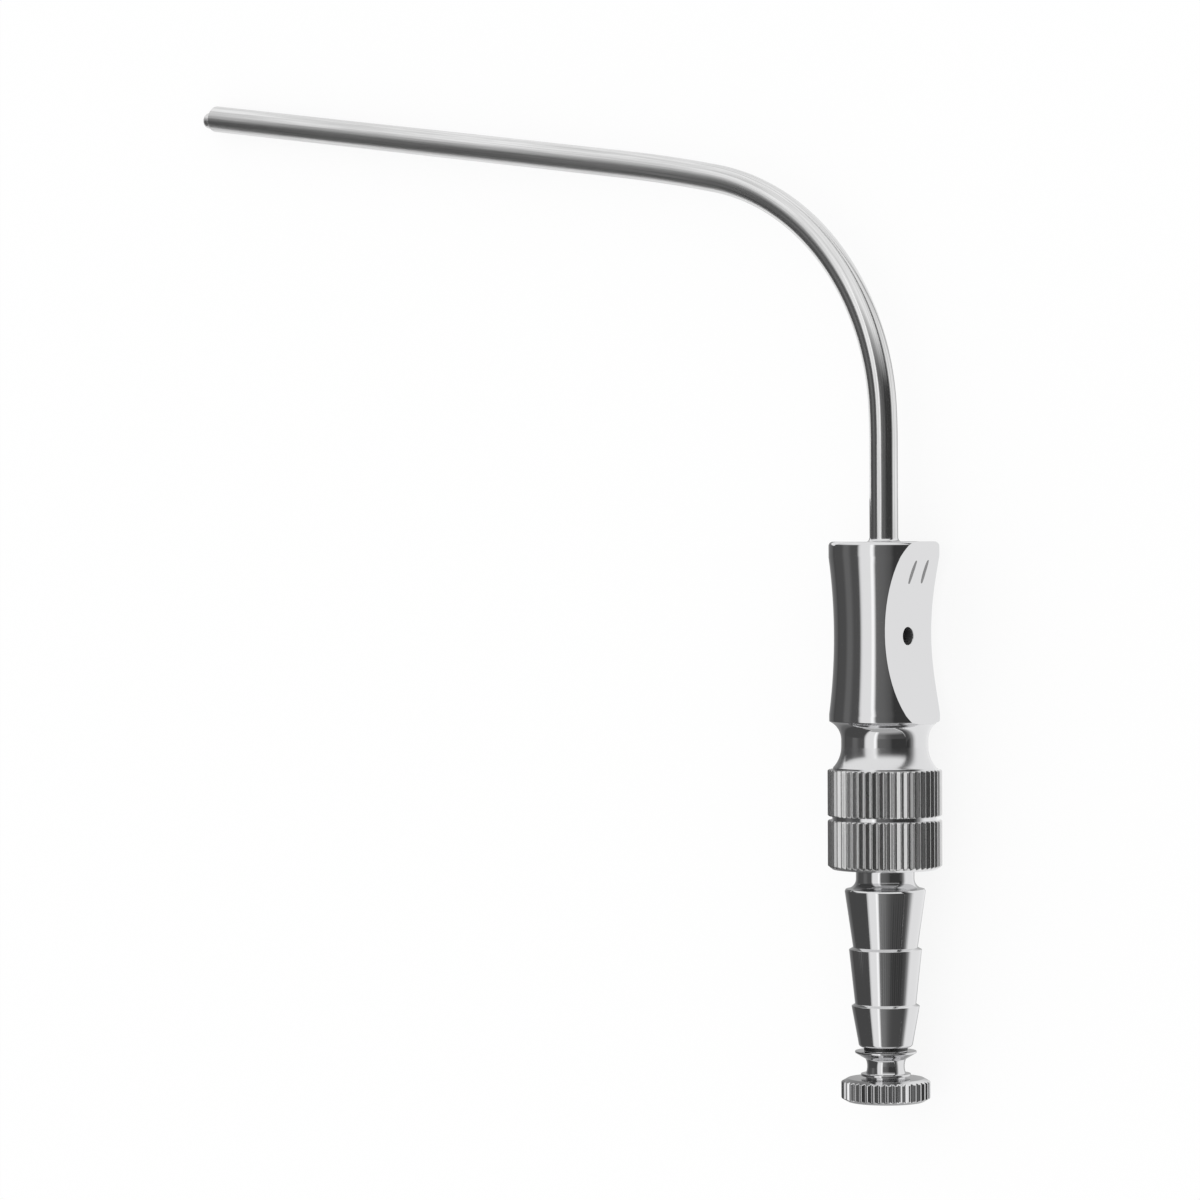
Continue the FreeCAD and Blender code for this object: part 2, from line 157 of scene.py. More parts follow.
# How finely the shapes are drawn
LEFT = 1
RIGHT = -1
ARC_STEP = 5
NOSE_STEP = 10
FILLET_STEP = 15
WAIST_STEP = 0.75
BEND_STEP = 0.75
BEND_RUN = 4.0
LAND_ROW = 0.25
KNURL_ROW = 0.07
SHARP_TURN = math.radians(18)
SHARP_EDGE = math.radians(38)
EDGE_BREAK = 0.06
EDGE_SHARE = 0.45
EDGE_STEPS = 3
FLAT_COLUMNS = 72
EDGE_COLUMNS = 5
REST_END_ROWS = 6
KNURL_STEPS = (0, 0.12, 0.5, 0.94, 1.06)
GROOVE_BOTTOM = 0.004
LAND_ROUND = 0.02
VENT_COLUMNS = 96
MARK_STEPS = 14
WELD = 0.0001

# Where the frame has the pieces: rolled onto the collars and the cannula's tip
mounts = {mount["name"]: mount for mount in frame["record"]["mounts"]}
arm_axis = mounts["cannula_arm"]["axis"]
LAY = (
    Matrix.Translation(mounts["hose_nipple"]["pos_m"])
    @ Matrix.Rotation(math.atan2(arm_axis[2], -arm_axis[0]), 4, "Y")
    @ Matrix.Scale(MM, 4)
    @ Matrix.Translation((0, -CONNECTOR_END, 0))
)


def arc(start, finish, radius, turn, step=ARC_STEP):
    """The short arc that turns left or right from one point to another, as points."""
    start, finish = Vector(start), Vector(finish)
    chord = finish - start
    rise = math.sqrt(radius ** 2 - (chord.length / 2) ** 2)
    across = Vector((-chord.y, chord.x)).normalized()
    centre = (start + finish) / 2 + across * rise * turn
    span = 2 * math.asin(chord.length / 2 / radius) * turn
    count = math.ceil(math.degrees(abs(span)) / step)
    turns = [Matrix.Rotation(span * index / count, 2) for index in range(count + 1)]
    return [tuple(centre + matrix @ (start - centre)) for matrix in turns]


def line(start, finish, longest):
    """A straight run between two points, as points no further apart than that."""
    start, finish = Vector(start), Vector(finish)
    count = math.ceil((finish - start).length / longest)
    return [tuple(start.lerp(finish, index / count)) for index in range(count + 1)]


def soften(points, size=EDGE_BREAK):
    """Round each sharp corner of a closed outline."""
    softened = []
    for index, point in enumerate(points):
        corner = Vector(point)
        before = Vector(points[index - 1]) - corner
        after = Vector(points[(index + 1) % len(points)]) - corner
        if corner.x == 0 or math.pi - before.angle(after) < SHARP_TURN:
            softened.append(point)
            continue
        start = corner + before * min(size / before.length, EDGE_SHARE)
        finish = corner + after * min(size / after.length, EDGE_SHARE)
        for step in range(EDGE_STEPS + 1):
            share = step / EDGE_STEPS
            curve = start.lerp(corner, share).lerp(corner.lerp(finish, share), share)
            softened.append(tuple(curve))
    return softened


def even_angles(count):
    """Angles at even steps round the axis."""
    return [math.tau * index / count for index in range(count)]


def knurl_angles(knurl):
    """Angles round a knurl, closest together at the grooves' bottoms and edges."""
    pitch = math.tau / knurl["count"]
    half = knurl["width"] / 2 / knurl["outside"]
    steps = [step * half for step in KNURL_STEPS]
    around = steps + [pitch / 2] + [pitch - step for step in reversed(steps[1:])]
    return [pitch * index + step for index in range(knurl["count"]) for step in around]


def round_ring(radius, height, angles):
    """A ring about the axis."""
    return [(radius * math.cos(angle), height, -radius * math.sin(angle)) for angle in angles]


def knurled_ring(radius, height, angles, knurl):
    """A ring of a knurled surface: the lower of the turned form and the V grooves in it."""
    slope = 2 * knurl["depth"] / knurl["width"]
    pitch = math.tau / knurl["count"]
    ring = []
    for angle in angles:
        off = (angle + pitch / 2) % pitch - pitch / 2
        across = math.hypot(math.sin(off), GROOVE_BOTTOM) - GROOVE_BOTTOM
        groove = (knurl["outside"] - knurl["depth"]) / (math.cos(off) - slope * across)
        lower = (radius + groove - math.hypot(radius - groove, LAND_ROUND)) / 2
        ring.append((lower * math.cos(angle), height, -lower * math.sin(angle)))
    return ring


def turned_rings(outline, knurl, top, foot):
    """Rings of a turned piece that is knurled between two heights."""
    angles = knurl_angles(knurl)
    rings = []
    for radius, height in outline:
        if foot - MM < height < top + MM:
            rings.append(knurled_ring(radius, height, angles, knurl))
        else:
            rings.append(round_ring(radius, height, angles))
    return rings


def rest_depth(height):
    """How far the thumb rest's surface is from the grip's axis at a height."""
    return REST_FLOOR + REST_CURVE - math.sqrt(REST_CURVE ** 2 - (height - REST_HEIGHT) ** 2)


def barrel_ring(radius, height, columns):
    """A ring of the barrel: round, but flat where the thumb rest cuts it, and rounded between."""
    half = math.acos(min(1, (rest_depth(height) - REST_EDGE) / (radius - REST_EDGE)))
    corner = Vector((math.cos(half), math.sin(half))) * (radius - REST_EDGE)
    edge = [half * index / EDGE_COLUMNS for index in range(EDGE_COLUMNS)]
    far_edge = [corner + REST_EDGE * Vector((math.cos(angle), math.sin(angle))) for angle in edge]
    near_edge = [(x, -z) for x, z in reversed(far_edge)]
    turns = [half + (math.tau - 2 * half) * index / columns for index in range(columns + 1)]
    side = [(radius * math.cos(angle), radius * math.sin(angle)) for angle in turns]
    across = [corner.y * (2 * index / FLAT_COLUMNS - 1) for index in range(1, FLAT_COLUMNS)]
    flat = [(corner.x + REST_EDGE, z) for z in across]
    return [(x, height, -z) for x, z in [*side, *near_edge, *flat, *far_edge]]


def rows_to_rest_ends(points):
    """Add rows where the thumb rest runs out, closer and closer to where it ends."""
    rows = [points[0]]
    for start, finish in zip(points, points[1:]):
        gaps = [radius - rest_depth(height) for radius, height in (start, finish)]
        if gaps[0] * gaps[1] < 0:
            end = gaps[0] / (gaps[0] - gaps[1])
            inside = 0 if gaps[0] > 0 else 1
            shares = [(step / REST_END_ROWS) ** 2 for step in range(REST_END_ROWS)]
            places = sorted(end + (inside - end) * share for share in shares)
            rows += [tuple(Vector(start).lerp(Vector(finish), place)) for place in places]
        rows.append(finish)
    return rows


def centre_line(foot, bend, arm):
    """The line that a tube follows, as points with headings: up, round the bend, along the arm."""
    up = math.pi / 2
    stops = [(Vector(point), up) for point in line((0, foot), (0, LEAD_LENGTH), BEND_RUN)]
    for radius, degrees in (LEAD_IN, bend, RUN_OUT):
        start, heading = stops[-1]
        centre = start + radius * Vector((-math.sin(heading), math.cos(heading)))
        count = math.ceil(degrees / BEND_STEP)
        for index in range(1, count + 1):
            turn = math.radians(degrees) * index / count
            stops.append((centre + Matrix.Rotation(turn, 2) @ (start - centre), heading + turn))
    start, heading = stops[-1]
    finish = start + arm * Vector((math.cos(heading), math.sin(heading)))
    stops += [(Vector(point), heading) for point in line(start, finish, BEND_RUN)[1:]]
    return stops


def ring_across(stop, radius, beyond, columns):
    """A ring across a centre line, a little beyond one of its stops."""
    point, heading = stop
    middle = point + beyond * Vector((math.cos(heading), math.sin(heading)))
    side = Vector((-math.sin(heading), math.cos(heading)))
    ring = []
    for angle in even_angles(columns):
        x, y = middle + radius * math.cos(angle) * side
        ring.append((x, y, radius * math.sin(angle)))
    return ring


def is_point(ring):
    """Whether a ring has shrunk to one point on the axis."""
    return all(point == ring[0] for point in ring)


def skin(name, rings):
    """Join rings of equally many points, the last one to the first, into one closed surface."""
    form = bmesh.new()
    layer = form.loops.layers.uv.new("surface")
    columns = len(rings[0])
    travel = [0.0]
    for ring, following in zip(rings, [*rings[1:], rings[0]]):
        step = (Vector(following[columns // 2]) - Vector(ring[columns // 2])).length
        travel.append(travel[-1] + step)
    vertices = [[form.verts.new(point) for point in ring] for ring in rings]
    for row, ring in enumerate(rings):
        following = (row + 1) % len(rings)
        if is_point(ring) and is_point(rings[following]):
            continue
        lower, upper = vertices[row], vertices[following]
        for column in range(columns):
            beside = (column + 1) % columns
            face = form.faces.new((lower[column], lower[beside], upper[beside], upper[column]))
            face.smooth = True
            places = ((column, row), (column + 1, row), (column + 1, row + 1), (column, row + 1))
            for loop, (around, along) in zip(face.loops, places):
                loop[layer].uv = (around / columns, travel[along])
    bmesh.ops.remove_doubles(form, verts=form.verts, dist=WELD)
    bmesh.ops.recalc_face_normals(form, faces=form.faces)
    mesh = bpy.data.meshes.new(name)
    form.to_mesh(mesh)
    form.free()
    return mesh


def new_object(name, mesh, materials):
    """Lay a mesh that is in millimetres down in the frame."""
    mesh.transform(LAY)
    for material in materials:
        mesh.materials.append(material)
    thing = bpy.data.objects.new(name, mesh)
    bpy.context.scene.collection.objects.link(thing)
    return thing


def carve(piece, cutters):
    """Cut the cutters out of a piece, and give the cut faces the cutters' materials."""
    for cutter in cutters:
        cut = piece.modifiers.new("cut", "BOOLEAN")
        cut.operation = "DIFFERENCE"
        cut.solver = "EXACT"
        cut.material_mode = "TRANSFER"
        cut.object = cutter
    graph = bpy.context.evaluated_depsgraph_get()
    carved = bpy.data.meshes.new_from_object(piece.evaluated_get(graph))
    piece.modifiers.clear()
    piece.data = carved
    for cutter in cutters:
        bpy.data.objects.remove(cutter)


def finish_between(mesh, foot, top, near, far, index):
    """Give another finish to the faces between two heights and two distances from the axis."""
    for face in mesh.polygons:
        x, height, z = face.center
        if foot < height < top and near < math.hypot(x, z) < far:
            face.material_index = index


def dress(piece, node):
    """Shade a piece, and let it stand for its node."""
    piece.data.set_sharp_from_angle(angle=SHARP_EDGE)
    shading = piece.modifiers.new("shading", "WEIGHTED_NORMAL")
    shading.keep_sharp = True
    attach(piece, "root")
    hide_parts(node)
    return piece


def make_cannula(steel):
    """The suction tube: a thin wall, bent in one plane, with a rounded tip."""
    stops = centre_line(-TUBE_SEAT_DEPTH, BEND, ARM_LENGTH)
    inside = TUBE_RADIUS - TUBE_WALL
    rim = [
        *arc((TUBE_RADIUS, -TUBE_EDGE_ROUND), (TUBE_RADIUS - TUBE_EDGE_ROUND, 0),
             TUBE_EDGE_ROUND, LEFT, FILLET_STEP),
        (inside + EDGE_BREAK / 2, 0),
        (inside, -EDGE_BREAK / 2),
    ]
    rings = [ring_across(stop, TUBE_RADIUS, 0, TUBE_COLUMNS) for stop in stops[:-1]]
    rings += [ring_across(stops[-1], radius, beyond, TUBE_COLUMNS) for radius, beyond in rim]
    rings += [ring_across(stop, inside, 0, TUBE_COLUMNS) for stop in reversed(stops[:-1])]
    tube = new_object("suction_cannula", skin("suction_cannula", rings), [steel])
    return dress(tube, "cannula")


def make_wire(steel):
    """The stylet's wire, which lies against the inner side of the cannula's arm."""
    spread = math.radians(RUN_OUT[1])
    whole = math.radians(BEND[1] + RUN_OUT[1])
    play = TUBE_RADIUS - TUBE_WALL - WIRE_RADIUS - WIRE_CLEARANCE
    lean = play / (math.cos(spread) - math.cos(whole))
    lag = lean * (math.sin(whole) - math.sin(spread))
    arm = ARM_LENGTH + WIRE_REACH + lag
    stops = centre_line(WIRE_FOOT, (BEND[0] - lean, BEND[1]), arm)
    nose = arc((WIRE_RADIUS, -WIRE_NOSE), (WIRE_RADIUS - WIRE_NOSE, 0), WIRE_NOSE, LEFT, NOSE_STEP)
    rings = [ring_across(stops[0], 0, 0, WIRE_COLUMNS)]
    rings += [ring_across(stop, WIRE_RADIUS, 0, WIRE_COLUMNS) for stop in stops[:-1]]
    rings += [ring_across(stops[-1], radius, beyond, WIRE_COLUMNS) for radius, beyond in nose]
    rings.append(ring_across(stops[-1], 0, 0, WIRE_COLUMNS))
    wire = new_object("cleaning_wire", skin("cleaning_wire", rings), [steel])
    return dress(wire, "stylet_wire")


def grip_outline():
    """The grip's half section, as radius and height, from the solder round to the tube's seat."""
    waist_rise = BARREL_RADIUS - WAIST_RADIUS
    waist_top = (BARREL_RADIUS, -BARREL_TOP_LAND)
    waist_foot = (BARREL_RADIUS, BARREL_FOOT + BARREL_LOW_LAND)
    waist_reach = (waist_top[1] - waist_foot[1]) / 2
    waist_curve = (waist_reach ** 2 + waist_rise ** 2) / (2 * waist_rise)
    foot_top = GRIP_COLLAR_TOP + NECK_FOOT_HEIGHT
    upper_depth = NECK_UPPER_CURVE - (BARREL_RADIUS - NECK_RADIUS)
    lower_depth = NECK_LOWER_CURVE - (NECK_FOOT_RADIUS - NECK_RADIUS)
    neck_top = BARREL_FOOT - math.sqrt(NECK_UPPER_CURVE ** 2 - upper_depth ** 2)
    neck_foot = foot_top + math.sqrt(NECK_LOWER_CURVE ** 2 - lower_depth ** 2)
    lip = TUBE_RADIUS + SOLDER_LIP
    shoulder = (BARREL_RADIUS, -BARREL_TOP_ROUND)
    return soften([
        (TUBE_RADIUS, SOLDER_FILLET),
        *arc((lip, SOLDER_FILLET), (lip + SOLDER_FILLET, 0), SOLDER_FILLET, LEFT),
        *arc((BARREL_RADIUS - BARREL_TOP_ROUND, 0), shoulder, BARREL_TOP_ROUND, RIGHT),
        *line(shoulder, waist_top, LAND_ROW)[1:],
        *arc(waist_top, waist_foot, waist_curve, LEFT, WAIST_STEP)[1:],
        *line(waist_foot, (BARREL_RADIUS, BARREL_FOOT), LAND_ROW)[1:],
        *arc((BARREL_RADIUS, BARREL_FOOT), (NECK_RADIUS, neck_top), NECK_UPPER_CURVE, LEFT)[1:],
        *arc((NECK_RADIUS, neck_foot), (NECK_FOOT_RADIUS, foot_top), NECK_LOWER_CURVE, LEFT),
        (NECK_FOOT_RADIUS, GRIP_COLLAR_TOP),
        *line((COLLAR_RADIUS - COLLAR_EDGE, GRIP_COLLAR_TOP),
              (COLLAR_RADIUS, GRIP_COLLAR_TOP - COLLAR_EDGE), KNURL_ROW),
        *line((COLLAR_RADIUS, GRIP_COLLAR_FOOT + COLLAR_EDGE),
              (COLLAR_RADIUS - COLLAR_EDGE, GRIP_COLLAR_FOOT), KNURL_ROW),
        (SOCKET_RADIUS, GRIP_COLLAR_FOOT),
        (SOCKET_RADIUS, SOCKET_TOP),
        (CHANNEL_RADIUS, SOCKET_TOP),
        (CHANNEL_RADIUS, -TUBE_SEAT_DEPTH),
        (TUBE_RADIUS, -TUBE_SEAT_DEPTH),
    ])


def make_grip(steel, knurl_steel, neck_steel, dull_shade_painted_steel, mark_steel):
    """The grip: waisted barrel with the thumb rest, neck and knurled collar, bored through."""
    grooves = knurl_angles(COLLAR_KNURL)
    plain = even_angles(len(grooves))
    spare = 2 * EDGE_COLUMNS + FLAT_COLUMNS
    rings = []
    for radius, height in rows_to_rest_ends(grip_outline()):
        if radius > SOCKET_RADIUS and height > GRIP_COLLAR_TOP + MM:
            ring = barrel_ring(radius, height, len(grooves))
        else:
            if radius > SOCKET_RADIUS:
                ring = knurled_ring(radius, height, grooves, COLLAR_KNURL)
            else:
                ring = round_ring(radius, height, plain)
            ring += [ring[0]] * spare
        rings.append(ring)
    mesh = skin("turned_grip", rings)
    finish_between(mesh, GRIP_COLLAR_FOOT, GRIP_COLLAR_TOP, COLLAR_KNURL_FLOOR, COLLAR_RADIUS,
                   KNURL_FINISH)
    finish_between(mesh, GRIP_COLLAR_TOP, NECK_TURNED_TOP, SOCKET_RADIUS, COLLAR_RADIUS, NECK_FINISH)
    grip = new_object("turned_grip", mesh, [steel, knurl_steel, neck_steel])
    cutters = [make_vent_cutter(steel, dull_shade_painted_steel)]
    cutters += [make_mark_cutter(stroke, mark_steel) for stroke in MARK_STROKES]
    carve(grip, cutters)
    return dress(grip, "grip")


def make_vent_cutter(steel, dull_shade_painted_steel):
    """What the vent's drill takes away, from inside the channel out past the thumb rest."""
    mouth = VENT_RADIUS + VENT_FLARE
    outline = [
        (0, VENT_START),
        (VENT_RADIUS, VENT_START),
        *arc((VENT_RADIUS, REST_FLOOR - VENT_FLARE), (mouth, REST_FLOOR),
             VENT_FLARE, RIGHT, FILLET_STEP),
        (mouth + VENT_FLARE, REST_FLOOR + VENT_FLARE / 2),
        (mouth + VENT_FLARE, BARREL_RADIUS),
        (0, BARREL_RADIUS),
    ]
    rings = []
    for radius, reach in outline:
        ring = round_ring(radius, reach, even_angles(VENT_COLUMNS))
        rings.append([(along, x + VENT_HEIGHT, z) for x, along, z in ring])
    mesh = skin("vent_cutter", rings)
    # the vent's bore wall takes the rough steel, whose darker grey is painted shade in the hole
    for face in mesh.polygons:
        face.material_index = int(face.center.x < REST_FLOOR - VENT_FLARE)
    return new_object("vent_cutter", mesh, [steel, dull_shade_painted_steel])


def make_mark_cutter(stroke, mark_steel):
    """What one engraved stroke takes out of the thumb rest's surface, rounded at its ends."""
    start, finish = (Vector(end) for end in stroke)
    along = (finish - start).normalized()
    rings = []
    for index in range(MARK_STEPS + 1):
        place = math.pi * index / MARK_STEPS
        radius = MARK_RADIUS * math.sin(place) ** MARK_FULLNESS
        if index in (0, MARK_STEPS):
            radius = 0
        middle = start.lerp(finish, (1 - math.cos(place)) / 2)
        lift = rest_depth(middle.x) + MARK_RADIUS - MARK_DEPTH
        ring = []
        for angle in even_angles(WIRE_COLUMNS):
            side = radius * math.cos(angle)
            reach = lift + radius * math.sin(angle)
            ring.append((reach, middle.x - side * along.y, middle.y + side * along.x))
        rings.append(ring)
    return new_object("mark_cutter", skin("mark_cutter", rings), [mark_steel])


def make_connector(steel, knurl_steel):
    """The hose connector: spigot, land, knurled collar, neck and three barbs, bored through."""
    shoulder = BARBS[0][2] + BARB_SHOULDER
    feet = [top + BARB_SHOULDER for _, _, top in BARBS[1:]] + [CONNECTOR_END + CONNECTOR_END_ROUND]
    barbs = []
    for (top_radius, foot_radius, top), foot in zip(BARBS, feet):
        barbs += [(top_radius, top), (foot_radius, foot)]
    end_radius, end_height = barbs.pop()
    outline = soften([
        (CONNECTOR_BORE, SPIGOT_TOP),
        (SPIGOT_RADIUS - SPIGOT_BEVEL, SPIGOT_TOP),
        (SPIGOT_RADIUS, SPIGOT_TOP - SPIGOT_BEVEL),
        (SPIGOT_RADIUS, GRIP_COLLAR_FOOT),
        (LAND_RADIUS, GRIP_COLLAR_FOOT),
        (LAND_RADIUS, CONNECTOR_COLLAR_TOP),
        *line((COLLAR_RADIUS - COLLAR_EDGE, CONNECTOR_COLLAR_TOP),
              (COLLAR_RADIUS, CONNECTOR_COLLAR_TOP - COLLAR_EDGE), KNURL_ROW),
        *line((COLLAR_RADIUS, CONNECTOR_COLLAR_FOOT + COLLAR_BEVEL),
              (COLLAR_FACE_RADIUS, CONNECTOR_COLLAR_FOOT), KNURL_ROW),
        *arc((CONNECTOR_NECK_RADIUS + CONNECTOR_NECK_ROOT, CONNECTOR_COLLAR_FOOT),
             (CONNECTOR_NECK_RADIUS, CONNECTOR_COLLAR_FOOT - CONNECTOR_NECK_ROOT),
             CONNECTOR_NECK_ROOT, LEFT, FILLET_STEP),
        *arc((CONNECTOR_NECK_RADIUS, shoulder + CONNECTOR_NECK_FILLET),
             (CONNECTOR_NECK_RADIUS + CONNECTOR_NECK_FILLET, shoulder),
             CONNECTOR_NECK_FILLET, LEFT),
        *barbs,
        *arc((end_radius, end_height), (end_radius - CONNECTOR_END_ROUND, CONNECTOR_END),
             CONNECTOR_END_ROUND, RIGHT),
        (CONNECTOR_BORE, CONNECTOR_END),
    ])
    rings = turned_rings(outline, COLLAR_KNURL, CONNECTOR_COLLAR_TOP, CONNECTOR_COLLAR_FOOT)
    mesh = skin("barbed_connector", rings)
    finish_between(mesh, CONNECTOR_COLLAR_FOOT, CONNECTOR_COLLAR_TOP, COLLAR_KNURL_FLOOR, COLLAR_RADIUS,
                   KNURL_FINISH)
    connector = new_object("barbed_connector", mesh, [steel, knurl_steel])
    return dress(connector, "hose_connector")


def make_knob(steel, boss_shade_steel):
    """The stylet's knob: a boss that stops at the connector, flange, beaded neck and knurled head."""
    outline = soften([
        (WIRE_RADIUS, CONNECTOR_END),
        (BOSS_RADIUS, CONNECTOR_END),
        (BOSS_RADIUS, FLANGE_TOP),
        (FLANGE_RADIUS, FLANGE_TOP),
        (FLANGE_RADIUS, FLANGE_TOP - FLANGE_RIM),
        *arc((KNOB_NECK_RADIUS, KNOB_NECK_TOP), (KNOB_NECK_RADIUS, KNOB_NECK_FOOT),
             KNOB_NECK_CURVE, LEFT),
        (BEAD_RADIUS, KNOB_NECK_FOOT),
        (BEAD_RADIUS, BEAD_FOOT),
        (KNOB_NECK_RADIUS, BEAD_FOOT),
        (KNOB_NECK_RADIUS, KNOB_TOP),
        *line((KNOB_FACE_RADIUS, KNOB_TOP), (KNOB_RADIUS, KNOB_TOP - KNOB_BEVEL), KNURL_ROW),
        *line((KNOB_RADIUS, KNOB_FOOT + KNOB_BEVEL), (KNOB_FACE_RADIUS, KNOB_FOOT), KNURL_ROW),
        (0, KNOB_FOOT),
        (0, WIRE_FOOT),
        (WIRE_RADIUS, WIRE_FOOT),
    ])
    rings = turned_rings(outline, KNOB_KNURL, KNOB_TOP, KNOB_FOOT)
    mesh = skin("knurled_knob", rings)
    # paint the boss near-black: painted shade in the gap between the connector's end and the flange
    finish_between(mesh, FLANGE_TOP, CONNECTOR_END, WIRE_RADIUS, BOSS_RADIUS, BOSS_PAINTED_SHADE)
    knob = new_object("knurled_knob", mesh, [steel, boss_shade_steel])
    return dress(knob, "stylet_knob")


# Finishes: grey level, roughness, and how high and how close their fine lines are
POLISHED = {"grey": 0.71, "rough": 0.075, "around": 3.0, "along": 12.0, "line_height": 0.15}
KNURLED = {"grey": 0.69, "rough": 0.27, "around": 60.0, "along": 0.02, "line_height": 0.03, "streaks": 0.08}
DRAWN = {"grey": 0.70, "rough": 0.15, "around": 45.0, "along": 0.04, "line_height": 2.5, "satin": 0.2,
         "streaks": 0.15}
# rough and darker grey: rough as an unpolished drilled bore, darker as painted shade inside the vent
DULL_PAINTED_SHADE = {"grey": 0.36, "rough": 0.6, "around": 20.0, "along": 20.0, "line_height": 0.6}
ENGRAVED = {"grey": 0.26, "rough": 0.8, "around": 20.0, "along": 20.0, "line_height": 0.6, "metal": 0}
TURNED = {"grey": 0.71, "rough": 0.2, "around": 3.0, "along": 12.0, "line_height": 0.15}
# near-black steel: painted shade for the knob's boss in the gap under the connector's end
PAINTED_SHADE = {"grey": 0.1, "rough": 0.5, "around": 20.0, "along": 20.0, "line_height": 0.6}
BLUE_TINT = 1.01
LINE_DETAIL = 6
LINE_ROUGHNESS = 0.7
ROUGH_SPREAD = 0.04
STREAKS_FROM = 0.35
STREAKS_TO = 0.65
SATIN_FROM = 40.0
SATIN_TO = 85.0
BUFF_SIZE = 350.0
BUFF_DETAIL = 2
BUFF_HEIGHT = 1.2e-6
MICRON = 1e-6


def steel_material(name, grey, rough, around, along, line_height, satin=0, streaks=0, metal=1):
    """Stainless steel with fine lines and streaks from its making, wavy, with a satin far end."""
    material = bpy.data.materials.new(name)
    material.use_nodes = True
    nodes, links = material.node_tree.nodes, material.node_tree.links
    shader = nodes["Principled BSDF"]
    shader.inputs["Base Color"].default_value = (grey, grey, grey * BLUE_TINT, 1)
    shader.inputs["Metallic"].default_value = metal
    place = nodes.new("ShaderNodeUVMap")
    place.uv_map = "surface"
    stretch = nodes.new("ShaderNodeMapping")
    stretch.inputs["Scale"].default_value = (around, along, 1)
    links.new(place.outputs["UV"], stretch.inputs["Vector"])
    lines = nodes.new("ShaderNodeTexNoise")
    lines.inputs["Scale"].default_value = 1
    lines.inputs["Detail"].default_value = LINE_DETAIL
    lines.inputs["Roughness"].default_value = LINE_ROUGHNESS
    links.new(stretch.outputs["Vector"], lines.inputs["Vector"])
    if streaks:
        tone = nodes.new("ShaderNodeMapRange")
        tone.inputs["From Min"].default_value = STREAKS_FROM
        tone.inputs["From Max"].default_value = STREAKS_TO
        tone.inputs["To Min"].default_value = grey - streaks
        tone.inputs["To Max"].default_value = grey + streaks
        links.new(lines.outputs["Fac"], tone.inputs["Value"])
        links.new(tone.outputs["Result"], shader.inputs["Base Color"])
    gloss = nodes.new("ShaderNodeMapRange")
    gloss.inputs["To Min"].default_value = rough - ROUGH_SPREAD
    gloss.inputs["To Max"].default_value = rough + ROUGH_SPREAD
    links.new(lines.outputs["Fac"], gloss.inputs["Value"])
    links.new(gloss.outputs["Result"], shader.inputs["Roughness"])
    if satin:
        split = nodes.new("ShaderNodeSeparateXYZ")
        links.new(place.outputs["UV"], split.inputs["Vector"])
        worn = nodes.new("ShaderNodeMapRange")
        worn.interpolation_type = "SMOOTHSTEP"
        worn.inputs["From Min"].default_value = SATIN_FROM
        worn.inputs["From Max"].default_value = SATIN_TO
        worn.inputs["To Max"].default_value = satin
        links.new(split.outputs["Y"], worn.inputs["Value"])
        total = nodes.new("ShaderNodeMath")
        links.new(gloss.outputs["Result"], total.inputs[0])
        links.new(worn.outputs["Result"], total.inputs[1])
        links.new(total.outputs["Value"], shader.inputs["Roughness"])
    spot = nodes.new("ShaderNodeTexCoord")
    buff = nodes.new("ShaderNodeTexNoise")
    buff.inputs["Scale"].default_value = BUFF_SIZE
    buff.inputs["Detail"].default_value = BUFF_DETAIL
    links.new(spot.outputs["Object"], buff.inputs["Vector"])
    waves = nodes.new("ShaderNodeBump")
    waves.inputs["Distance"].default_value = BUFF_HEIGHT
    links.new(buff.outputs["Fac"], waves.inputs["Height"])
    marks = nodes.new("ShaderNodeBump")
    marks.inputs["Distance"].default_value = line_height * MICRON
    links.new(lines.outputs["Fac"], marks.inputs["Height"])
    links.new(waves.outputs["Normal"], marks.inputs["Normal"])
    links.new(marks.outputs["Normal"], shader.inputs["Normal"])
    return material


# Studio: a pale floor and sky, and cards that only reflections show
SKY_LEVEL = 1.0
FLOOR_GREY = 0.93
FLOOR_LIFT = 0.85
FLOOR_HALF = 6.0
LAMP_POWER = 1.2
LAMP_PLACE = (0.15, 0.0, 1.3)
LAMP_SIZE = (0.8, 1.2)
CARD_STEP = 3.0
CARD_LIFT = 0.00002
DARK = 0.082
TENT_RADIUS = 0.9
TENT_ENDS = (-1.3, 0.6)
TENT_PLAIN = (-0.7, -0.27)
UPPER_TENT_PLAIN = (-0.27, 0.25)
LIGHT_BANDS = (  # angle about the grip's axis, from the thumb rest's side of the floor, and level
    (82, 1.3), (86, 1.3), (88, 1.0), (107, 1.0), (117, 0.365), (180, 0.365),
)
TENT_BANDS = ((0, DARK), (31, 0.086), (41, 0.1), (51, 0.14), (61, 0.21), (76, 0.26), *LIGHT_BANDS)
UPPER_TENT_BANDS = ((0, 0.05), (38, 0.05), (46, 0.11), (60, 0.15), (76, 0.17), *LIGHT_BANDS)
TENT_NEAR_LEVEL = 0.5
TENT_FAR_LEVEL = 1.0
FLAG_RADIUS = 0.2
FLAG_BANDS = ((108, 1.0), (115, DARK), (180, DARK))
FLAG_ENDS = (-0.4, -0.075)
UPPER_FLAG_BANDS = ((108, 1.0), (114, 0.1), (128, 0.1), (137, 0.16), (146, 0.16), (154, 0.095), (180, 0.09))
UPPER_FLAG_ENDS = (-0.075, 0.07)
REST_FLOOR_BANDS = (  # distance from the grip's axis on the thumb rest's side, and level
    (0, 0.45), (0.002, 0.5), (0.004, 1.0), (0.017, 1.0), (0.021, 0.8), (0.028, 0.33),
)
NEAR_FLOOR = (*REST_FLOOR_BANDS, (0.046, 0.13), (0.08, DARK), (0.9, DARK))
